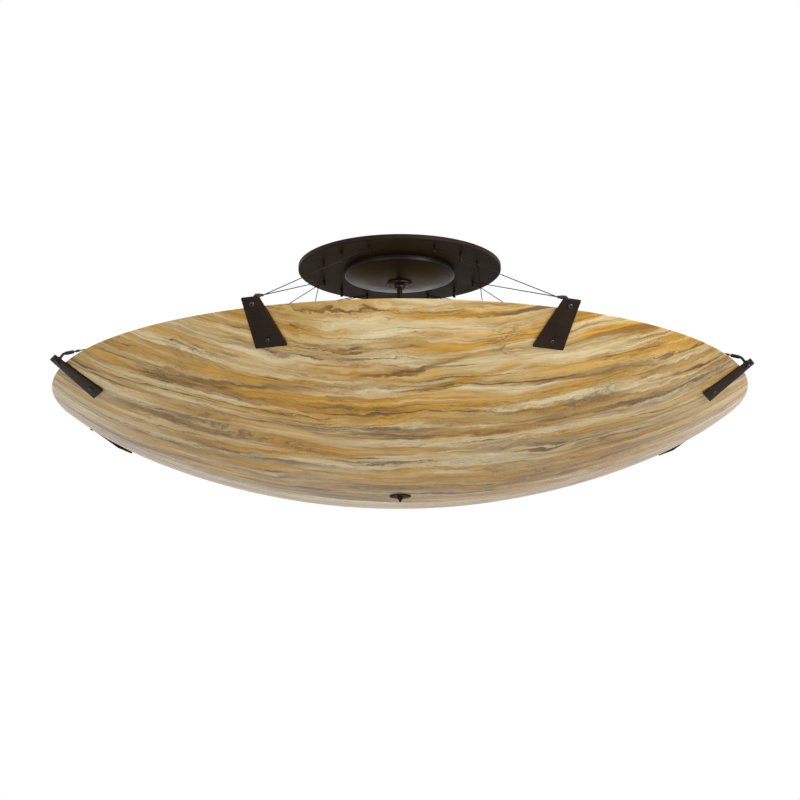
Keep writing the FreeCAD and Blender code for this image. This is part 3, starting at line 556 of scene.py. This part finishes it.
def bowl():
    """Glass shell with a flatter and a steeper arc on each face, and a rounded lip."""
    centre_r, centre_z, radius, shoulder = bowl_curve()
    floor_steps, wall_steps, lip_steps, size = 34, 16, 10, 256

    def face(offset, end):
        """Profile of one face of the glass, from the hole in the floor up to an angle."""
        floor_arc = FLOOR_ARC - offset
        hole = math.asin(BOWL_HOLE / floor_arc)
        low = arc_points(0, BOTTOM_Z + FLOOR_ARC, floor_arc, hole, shoulder, floor_steps)
        high = arc_points(centre_r, centre_z, radius - offset, shoulder, end, wall_steps)
        return low + high[1:]

    # The lip's round lies against the outer face and the top, as in the solid
    lip_z = RIM_Z - LIP_ROUND
    lip_r = centre_r + math.sqrt((radius - LIP_ROUND) ** 2 - (centre_z - lip_z) ** 2)
    lip_start = math.atan2(lip_r - centre_r, centre_z - lip_z)
    outer = face(0, lip_start)
    inner_radius = radius - BOWL_WALL
    inner_end = math.acos((centre_z - RIM_Z) / inner_radius) - LIP_ROUND / inner_radius
    inner = face(BOWL_WALL, inner_end)
    lip = arc_points(lip_r, lip_z, LIP_ROUND, lip_start, math.pi, lip_steps)[1:]
    lip += [(inner[-1][0] + 0.0006, RIM_Z), (inner[-1][0] - 0.0001, RIM_Z - 0.0003)]
    made = Build()
    made.lathe(outer + lip + inner[::-1], size=size, closed=True)
    made.piece("bowl_glass", "fixture", "bowl", GLASS, 40)


def canopy_dome():
    """Spun cup with the solid's profile and a softened skirt corner."""
    hole, land, radius, sheet = 0.00515, 0.024, 0.099, 0.0015
    land_z, skirt_z, top_z = -0.0309, -0.0179, -0.0103
    steps, size = 26, 160
    mid_r, mid_z = (land + radius) / 2, land_z + (skirt_z - land_z) * 0.26
    outer = arc_through((land, land_z), (mid_r, mid_z), (radius, skirt_z), steps)
    inner = arc_through((land, land_z + sheet), (mid_r - 0.0003, mid_z + sheet),
                        (radius - sheet, skirt_z + sheet), steps)
    skirt = [(radius - 0.0003, skirt_z + 0.0001), (radius, skirt_z + 0.0006),
             (radius, top_z + 0.0004), (radius - 0.0004, top_z),
             (radius - sheet + 0.0003, top_z), (radius - sheet, top_z + 0.0004)]
    profile = [(hole, land_z), *outer[:-1], *skirt, *inner[::-1], (hole, land_z + sheet)]
    made = Build()
    made.lathe(profile, size=size, closed=True)
    made.piece("dome_cup", "dome", "canopy_dome", DOME_BRONZE, 38)


def bracket_space():
    """Space of the +X bracket: X up along the plate, Y across it, Z into the bowl."""
    centre_r, centre_z, radius, _ = bowl_curve()
    tilt = math.acos((centre_z - RIM_Z) / radius) - BRACKET_BELOW_RIM / radius
    reach = radius + BRACKET_GAP
    spot = (centre_r + reach * math.sin(tilt), 0, centre_z - reach * math.cos(tilt))
    return Matrix.Translation(spot) @ Matrix.Rotation(-tilt, 4, "Y")


BRACKET_SPACE = bracket_space()


def rounded_outline(corners, radius, steps):
    """Outline of a polygon with rounded corners."""
    out = []
    count = len(corners)
    for i, corner in enumerate(corners):
        p = Vector(corner)
        before = (Vector(corners[i - 1]) - p).normalized()
        after = (Vector(corners[(i + 1) % count]) - p).normalized()
        half = before.angle(after) / 2
        cut = radius / math.tan(half)
        centre = p + (before + after).normalized() * radius / math.sin(half)
        a = p + before * cut - centre
        b = p + after * cut - centre
        sweep = math.atan2(a.x * b.y - a.y * b.x, a.dot(b))
        for k in range(steps + 1):
            t = sweep * k / steps
            out.append((centre.x + a.x * math.cos(t) - a.y * math.sin(t),
                        centre.y + a.x * math.sin(t) + a.y * math.cos(t)))
    return out


def brackets():
    """Tapered plates with rounded corners and softened edges."""
    low_half, high_half, corner_radius, corner_steps = 0.0265, 0.0145, 0.0015, 5
    soft, knee = 0.0006, 0.00018
    rings = []
    for inset, z in ((soft, 0), (knee, -knee), (0, -soft), (0, -BRACKET_THICK + soft),
                     (knee, -BRACKET_THICK + knee), (soft, -BRACKET_THICK)):
        low_x, high_x = BRACKET_LOW + inset, BRACKET_HIGH - inset
        corners = [(low_x, -low_half + inset), (low_x, low_half - inset),
                   (high_x, high_half - inset), (high_x, -high_half + inset)]
        outline = rounded_outline(corners, corner_radius - inset * 0.9, corner_steps)
        rings.append([(x, y, z) for x, y in outline])
    for number, angle in enumerate(BRACKET_ANGLES, 1):
        made = Build()
        made.loft(rings, turn(angle) @ BRACKET_SPACE)
        made.piece(f"bracket_plate_{number}", "fixture", f"bracket_{number}", BRONZE, 30)


def button_bolts(name, node, x, radius, height, shank):
    """Button-head screws with a hexagon socket and a plain shank."""
    size, crown_steps, shank_radius = 36, 6, 0.002
    face = -BRACKET_THICK
    socket = radius * 0.52
    socket_floor = face - height * 0.45
    crown_start, rim_height = 0.62, 0.25
    rings = [ring(0.0001, socket_floor, size), ring(socket, socket_floor, size, hex_wave),
             ring(socket, face - height * 0.97, size, hex_wave),
             ring(socket * 1.12, face - height, size)]
    for k in range(crown_steps + 1):
        t = math.radians(90 * k / crown_steps)
        crown_radius = radius * (crown_start + (1 - crown_start) * math.sin(t))
        crown_height = height * (rim_height + (1 - rim_height) * math.cos(t))
        rings.append(ring(crown_radius, face - crown_height, size))
    rings += [ring(radius, face - 0.0001, size), ring(radius * 0.96, face, size),
              ring(shank_radius, face, size), ring(shank_radius, face + shank, size)]
    made = Build()
    for angle in BRACKET_ANGLES:
        made.loft(rings, turn(angle) @ BRACKET_SPACE @ Matrix.Translation((x, 0, 0)))
    made.piece(name, "fixture", node, BOLT, 35)


def tube(made, spots, size, matrix=Matrix.Identity(4), wave=None, twist=0.0):
    """Tube through (point, radius) pairs. Twist is in radians per metre."""
    rings = []
    reference = None
    travelled = 0.0
    for i, (spot, radius) in enumerate(spots):
        ahead = spots[min(i + 1, len(spots) - 1)][0] - spots[max(i - 1, 0)][0]
        ahead.normalize()
        if reference is None:
            reference = ahead.orthogonal().normalized()
        reference = (reference - ahead * reference.dot(ahead)).normalized()
        side = ahead.cross(reference)
        if i:
            travelled += (spot - spots[i - 1][0]).length
        points = []
        for k in range(size):
            t = 2 * math.pi * k / size
            reach = radius * (wave(t) if wave else 1)
            t += travelled * twist
            points.append(spot + reference * reach * math.cos(t) + side * reach * math.sin(t))
        rings.append(points)
    made.loft(rings, matrix)


ROD_RADIUS = 0.00225
BEND_RADIUS = 0.005

# Turned parts of a terminal: distance and radius. The boss stands on the foot, and the others
# count from the bend.
BOSS = (
    (0, 0.0030), (0.0001, 0.0037), (0.0006, 0.0039), (0.0022, 0.0039), (0.0024, 0.0036),
    (0.0027, 0.0036), (0.0029, 0.0039), (0.0053, 0.0039), (0.0059, 0.0034), (0.0060, 0.0022),
)
SLEEVE = (
    (0.0030, 0.0020), (0.0032, 0.0026), (0.0039, 0.0030), (0.0068, 0.0030), (0.0070, 0.0027),
    (0.0075, 0.0027), (0.0077, 0.0030), (0.0145, 0.0030), (0.0147, 0.0027), (0.0152, 0.0027),
    (0.0154, 0.0030), (0.0171, 0.0030), (0.0178, 0.0026), (0.0180, 0.0013), (0.0220, 0.0013),
)
FERRULE_END = 0.0282
FERRULE = (
    (0.0219, 0.0013), (0.0220, 0.0018), (0.0224, 0.0021), (0.0236, 0.0021), (0.0239, 0.0018),
    (0.0245, 0.0018), (0.0248, 0.0021), (0.0258, 0.0021), (0.0261, 0.0018), (0.0267, 0.0018),
    (0.0270, 0.0021), (0.0279, 0.0020), (FERRULE_END, 0.0015),
)


def terminal_frame():
    """Foot and bend of the +X terminal, and the direction in which it leaves the bend."""
    foot = BRACKET_SPACE @ Vector((UPPER_BOLT_X, 0, 0))
    bend = BRACKET_SPACE @ Vector((UPPER_BOLT_X, 0, TERMINAL_REACH))
    slope = math.radians(TERMINAL_SLOPE)
    return foot, bend, Vector((-math.cos(slope), 0, math.sin(slope)))


def terminals():
    """Boss, bent rod, turned sleeve, neck and crimped ferrule on each bracket."""
    foot, bend, along = terminal_frame()
    rise = (bend - foot).normalized()
    cut = BEND_RADIUS * math.tan(rise.angle(along) / 2)
    start, end = bend - rise * cut, bend + along * cut
    bend_steps = 8
    path = [foot + rise * 0.005]
    for k in range(bend_steps + 1):
        t = k / bend_steps
        path.append(start * (1 - t) ** 2 + bend * 2 * t * (1 - t) + end * t ** 2)
    path.append(bend + along * 0.010)
    made = Build()
    for angle in BRACKET_ANGLES:
        spin = turn(angle)
        tube(made, [(spot, ROD_RADIUS) for spot in path], 20, spin)
        tube(made, [(foot + rise * h, r) for h, r in BOSS], 28, spin)
        tube(made, [(bend + along * h, r) for h, r in SLEEVE], 28, spin)
        tube(made, [(bend + along * h, r) for h, r in FERRULE], 24, spin)
    made.piece("wire_end_terminals", "fixture", "wire_terminals", BLACK, 32)


WIRE_RADIUS = 0.0008
WIRE_OFFSET = 0.001
WIRE_CLEARANCE = 0.0003
WIRE_STEP = 0.0022
STRAND_LAY = 0.014
ANCHOR_REACH = 0.0025

# The right brackets' wires a and b: angle of the anchor, and drop below the plate's face
WIRE_ROUTES = {
    22.5: ((112.5, 0.002), (22.5, 0.002)),
    67.5: ((157.5, 0.004), (157.5, 0.002)),
    112.5: ((157.5, 0.008), (112.5, 0.004)),
    157.5: ((157.5, 0.006), (67.5, 0.008)),
}


def wires():
    """Twisted steel wires on the solids' lines, each from a ferrule to the wall of an anchor."""
    _, bend, along = terminal_frame()
    tip = bend + along * (FERRULE_END + WIRE_CLEARANCE)
    for angle, routes in WIRE_ROUTES.items():
        for half in (1, -1):
            number = round(half * angle / BRACKET_STEP - 0.5) % BRACKETS + 1
            spin = turn(half * angle)
            for letter, side, (anchor, drop) in zip("ab", (half, -half), routes):
                across = spin @ Vector((0, side * WIRE_OFFSET, 0))
                start = spin @ tip + across
                post = at_angle(STUD_CIRCLE, half * anchor, PLATE_FACE_Z - drop)
                level = Vector((start.x - post.x, start.y - post.y, 0)).normalized()
                end = post + level * ANCHOR_REACH + across
                steps = int((end - start).length / WIRE_STEP)
                spots = [(start.lerp(end, k / steps), WIRE_RADIUS) for k in range(steps + 1)]
                made = Build()
                tube(made, spots, 18, wave=strand_wave, twist=2 * math.pi / STRAND_LAY)
                made.piece(f"twisted_wire_{number}_{letter}", "fixture",
                           f"wire_{number}_{letter}", WIRE, 60)


def canopy_nuts():
    """Slim barrel nuts with a knurled middle, a waist and a rounded tip."""
    rib = knurl(16, 0.07)
    profile = [
        (0.0012, -0.0001), (0.00245, -0.0001), (0.0027, -0.0004), (0.0027, -0.0020),
        (0.00268, -0.0021, rib), (0.00268, -0.0066, rib), (0.0026, -0.0068),
        (0.0022, -0.0078), (0.0022, -0.0082), (0.0026, -0.0092), (0.00268, -0.0094, rib),
        (0.00268, -0.0131, rib), (0.0027, -0.0132), (0.0027, -0.0139),
    ]
    flat, rounding, tip_z, tip_height, tip_steps = 0.0006, 0.0021, -0.0140, 0.0020, 6
    for k in range(1, tip_steps + 1):
        t = math.radians(90 * k / tip_steps)
        profile.append((flat + rounding * math.cos(t), tip_z - tip_height * math.sin(t)))
    made = Build()
    for angle in LAMP_ANGLES:
        made.lathe(profile, Matrix.Translation(at_angle(STUD_CIRCLE, angle, PLATE_FACE_Z)))
    made.piece("knurled_canopy_nuts", "fixture", "canopy_nuts", BLACK, 35)


def wire_anchors():
    """Turned anchors: head inside the pan, grooved barrel below it."""
    profile = [
        (0.0, 0.0031), (0.0036, 0.0031), (0.0040, 0.0027), (0.0040, 0.0017),
        (0.0022, 0.0016), (0.0022, -0.0010), (0.0019, -0.0012), (0.0019, -0.0015),
        (0.0022, -0.0017), (0.0022, -0.0086), (0.0016, -0.0095), (0.0009, -0.0099),
        (0.0, -0.0100),
    ]
    made = Build()
    for angle in BRACKET_ANGLES:
        made.lathe(profile, Matrix.Translation(at_angle(STUD_CIRCLE, angle, PLATE_FACE_Z)), 28)
    made.piece("turned_wire_anchors", "fixture", "wire_anchors", BRONZE, 35)


def collar():
    """Knurled slip collar with a filleted hub, and its socket screw."""
    rib = knurl(72, 0.012)
    hole, hub, wide, top = 0.00491, 0.0100, 0.0225, -0.0310
    step, bottom = top - 0.0045, top - 0.0105
    profile = [
        (hole, top), (wide - 0.0005, top), (wide - 0.0001, top - 0.0003),
        (wide, top - 0.0005, rib), (wide, step + 0.0017, rib),
        (wide - 0.0003, step + 0.0014), (wide - 0.0015, step),
        (hub + 0.0012, step), (hub + 0.0004, step - 0.0003), (hub, step - 0.0010),
        (hub, bottom + 0.0006), (hub - 0.0006, bottom), (hole, bottom),
    ]
    made = Build()
    made.lathe(profile, size=288, closed=True)
    made.piece("knurled_collar", "collar", "dome_collar", DOME_BRONZE, 40)

    screw_z = top - 0.0075
    screw = Matrix.Translation((0, 0, screw_z)) @ Matrix.Rotation(math.radians(90), 4, "Y")
    profile = [
        (0.0, 0.0050), (0.0014, 0.0050), (0.0015, 0.0052), (0.0015, 0.0108),
        (0.0013, 0.0110), (0.0009, 0.0110), (0.0008, 0.0109, hex_wave),
        (0.0008, 0.0096, hex_wave), (0.0, 0.0096),
    ]
    made = Build()
    made.lathe(profile, screw, 36)
    made.piece("socket_set_screw", "collar", "collar_screw", STEEL, 35)


def finial():
    """Round-edged washer under the bowl and the pointed knob below it."""
    top = BOTTOM_Z - 0.00005
    hole = 0.00305
    profile = [
        (hole, top), (0.0185, top), (0.0189, top - 0.0003), (0.0190, top - 0.0007),
        (0.0189, top - 0.0012), (0.0184, top - 0.0016), (0.0176, top - 0.0018),
        (0.0160, top - 0.0018), (0.0154, top - 0.0020), (hole, top - 0.0020),
    ]
    made = Build()
    made.lathe(profile, size=96, closed=True)
    made.piece("round_finial_washer", "fixture", "finial_washer", BRONZE, 40)

    top = BOTTOM_Z - 0.00215
    rib = knurl(28, 0.03)
    profile = [
        (0.0, top), (0.0054, top), (0.0057, top - 0.0003), (0.0058, top - 0.0005, rib),
        (0.0058, top - 0.0016, rib), (0.0056, top - 0.0019), (0.0050, top - 0.0022),
        (0.0047, top - 0.0028), (0.0040, top - 0.0040), (0.0031, top - 0.0054),
        (0.0023, top - 0.0068), (0.0015, top - 0.0082), (0.0010, top - 0.0089),
        (0.0006, top - 0.0093), (0.0, top - 0.0095),
    ]
    made = Build()
    made.lathe(profile, size=112)
    made.piece("pointed_knob", "finial", "finial_knob", BRONZE, 40)


def holder_profile():
    """Porcelain lampholder with two pairs of turned grooves."""
    return [
        (0.0, 0.0120), (0.01308, 0.0120), (0.01308, 0.0455), (0.0135, 0.0460),
        (0.0163, 0.0460), (0.0169, 0.0456), (0.0170, 0.0450), (0.0170, 0.0400),
        (0.0166, 0.0396), (0.0166, 0.0388), (0.0170, 0.0384), (0.0170, 0.0362),
        (0.0166, 0.0358), (0.0166, 0.0350), (0.0170, 0.0346), (0.0170, 0.0060),
        (0.0166, 0.0028), (0.0160, 0.0012), (0.0148, 0.0002), (0.0144, 0.0),
        (0.0050, 0.0), (0.0050, -0.0040), (0.0, -0.0040),
    ]


def bulb_profile():
    """Cap, swelling neck and round globe."""
    start, globe, radius = 0.0130, 0.0910, 0.0300
    neck_radius, neck_z = 0.0148, 0.0510
    below, beside = 0.6, 0.8
    neck_steps, globe_steps = 9, 24
    flare = globe - radius * below
    profile = [
        (0.0, start), (0.0125, start), (0.0130, start + 0.0006), (0.0130, 0.0470),
        (0.0138, 0.0474), (0.0145, 0.0485), (neck_radius, neck_z),
    ]
    for k in range(1, neck_steps):
        t = k / neck_steps
        # Between a straight cone and an S curve
        swell = (0.55 * t + 0.45 * t * t * (3 - 2 * t)) * 0.985
        profile.append((neck_radius + (radius * beside - neck_radius) * swell,
                        neck_z + (flare - neck_z) * t))
    low = math.asin(below)
    for k in range(globe_steps + 1):
        t = -low + (math.pi / 2 + low) * k / globe_steps
        profile.append((radius * math.cos(t), globe + radius * math.sin(t)))
    return profile


def lamps():
    """Four lampholders round the hub, each with a frosted bulb."""
    hub_radius, size = 0.0300, 64
    outward = Matrix.Translation((hub_radius, 0, LAMP_Z)) @ Matrix.Rotation(math.pi / 2, 4, "Y")
    for number, angle in enumerate(LAMP_ANGLES, 1):
        place = turn(angle) @ outward
        made = Build()
        made.lathe(holder_profile(), place, size)
        made.piece(f"grooved_lampholder_{number}", "fixture", f"lampholder_{number}",
                   PORCELAIN, 35)
        made = Build()
        made.lathe(bulb_profile(), place, size)
        made.piece(f"round_bulb_{number}", f"bulb_{number}", f"bulb_{number}", FROSTED, 40)


bowl()
canopy_dome()
canopy_nuts()
wire_anchors()
collar()
finial()
lamps()
brackets()
button_bolts("upper_button_bolts", "upper_bolts", UPPER_BOLT_X,
             radius=0.0044, height=0.0034, shank=BRACKET_THICK + 0.0045)
button_bolts("lower_button_bolts", "lower_bolts", LOWER_BOLT_X,
             radius=0.0034, height=0.0024, shank=BRACKET_THICK + 0.0133)
terminals()
wires()

# The solids that show themselves wear the same materials
for name, node in frame["nodes"].items():
    for holder in node.material_slots:
        holder.material = BY_SLOT[SLOT_OF[name]]


# ---------------------------------------------------------------- stage

def floor():
    """Pale floor, a little lighter to the camera. Seen from below, it lets the view through."""
    half, z = 9.0, -1.75
    mesh = bpy.data.meshes.new("floor")
    corners = [(-half, -half, z), (half, -half, z), (half, half, z), (-half, half, z)]
    mesh.from_pydata(corners, [], [(0, 1, 2, 3)])
    obj = bpy.data.objects.new("floor", mesh)
    bpy.context.scene.collection.objects.link(obj)
    n = Nodes("floor")
    path = n.new("ShaderNodeLightPath")
    n.set(Base_Color=n.blend(n.even_noise(0.8, 3.0, 0.5), ((226, 225, 222), (234, 233, 231))),
          Roughness=0.9, Specular_IOR_Level=0.1, Emission_Color=(1, 0.995, 0.985, 1),
          Emission_Strength=n.times((path, "Is Camera Ray"), 0.36))
    geometry = n.new("ShaderNodeNewGeometry")
    clear = n.new("ShaderNodeBsdfTransparent")
    choose = n.new("ShaderNodeMixShader")
    n.link(geometry, "Backfacing", choose, 0)
    n.link(n.shader, "BSDF", choose, 1)
    n.link(clear, "BSDF", choose, 2)
    n.link(choose, "Shader", n.output, "Surface")
    mesh.materials.append(n.material)


def world():
    """White where the camera, a mirror or glass looks, plain soft light elsewhere."""
    scene = bpy.context.scene
    scene.world = bpy.data.worlds.new("studio")
    scene.world.use_nodes = True
    tree = scene.world.node_tree
    tree.nodes.clear()

    def background(colour, strength):
        node = tree.nodes.new("ShaderNodeBackground")
        node.inputs["Color"].default_value = (*colour, 1)
        node.inputs["Strength"].default_value = strength
        return node

    def largest(a, b):
        node = tree.nodes.new("ShaderNodeMath")
        node.operation = "MAXIMUM"
        tree.links.new(a, node.inputs[0])
        tree.links.new(b, node.inputs[1])
        return node.outputs[0]

    rays = tree.nodes.new("ShaderNodeLightPath").outputs
    seen = largest(rays["Is Camera Ray"], rays["Is Glossy Ray"])
    seen = largest(seen, rays["Is Transmission Ray"])
    mix = tree.nodes.new("ShaderNodeMixShader")
    tree.links.new(seen, mix.inputs[0])
    tree.links.new(background((1.0, 0.985, 0.965), 0.50).outputs[0], mix.inputs[1])
    tree.links.new(background((1, 1, 1), 1.0).outputs[0], mix.inputs[2])
    output = tree.nodes.new("ShaderNodeOutputWorld")
    tree.links.new(mix.outputs[0], output.inputs["Surface"])


def area(name, spot, target, size, power, colour):
    """Rectangular lamp aimed at a point, hidden from the camera."""
    light = bpy.data.lights.new(name, "AREA")
    light.shape = "RECTANGLE"
    light.size, light.size_y = size
    light.energy = power
    light.color = colour
    obj = bpy.data.objects.new(name, light)
    obj.location = spot
    aim = Vector(target) - Vector(spot)
    obj.rotation_euler = aim.to_track_quat("-Z", "Y").to_euler()
    obj.visible_camera = False
    bpy.context.scene.collection.objects.link(obj)


def camera():
    """Camera at the photograph's place, from a fit to the rim, plate, dome and brackets."""
    spot = (-0.1026, -3.3645, -1.1023)
    yaw, pitch, roll = (math.radians(angle) for angle in (1.747, 14.238, -0.16))
    data = bpy.data.cameras.new("camera")
    data.lens = 87.85
    data.sensor_width = 36
    obj = bpy.data.objects.new("camera", data)
    level = Vector((math.sin(yaw), math.cos(yaw), 0))
    ahead = level * math.cos(pitch) + Vector((0, 0, math.sin(pitch)))
    right = ahead.cross(Vector((0, 0, 1))).normalized()
    up = right.cross(ahead)
    right, up = (right * math.cos(roll) + up * math.sin(roll),
                 up * math.cos(roll) - right * math.sin(roll))
    facing = Matrix((right, up, -ahead)).transposed().to_4x4()
    obj.matrix_world = Matrix.Translation(spot) @ facing
    bpy.context.scene.collection.objects.link(obj)
    bpy.context.scene.camera = obj


floor()
world()
area("key", (1.9, -2.3, 0.2), (0, 0, -0.32), (1.6, 1.2), power=58, colour=(1.0, 0.985, 0.96))
area("fill", (-1.7, -2.3, -0.9), (0, 0, -0.32), (1.6, 1.6), power=12, colour=(1.0, 0.99, 0.98))
area("under", (0, -0.6, -1.6), (0, 0, -0.35), (2.2, 1.6), power=3, colour=(1.0, 0.985, 0.96))
camera()
bpy.context.scene.view_settings.view_transform = "Standard"
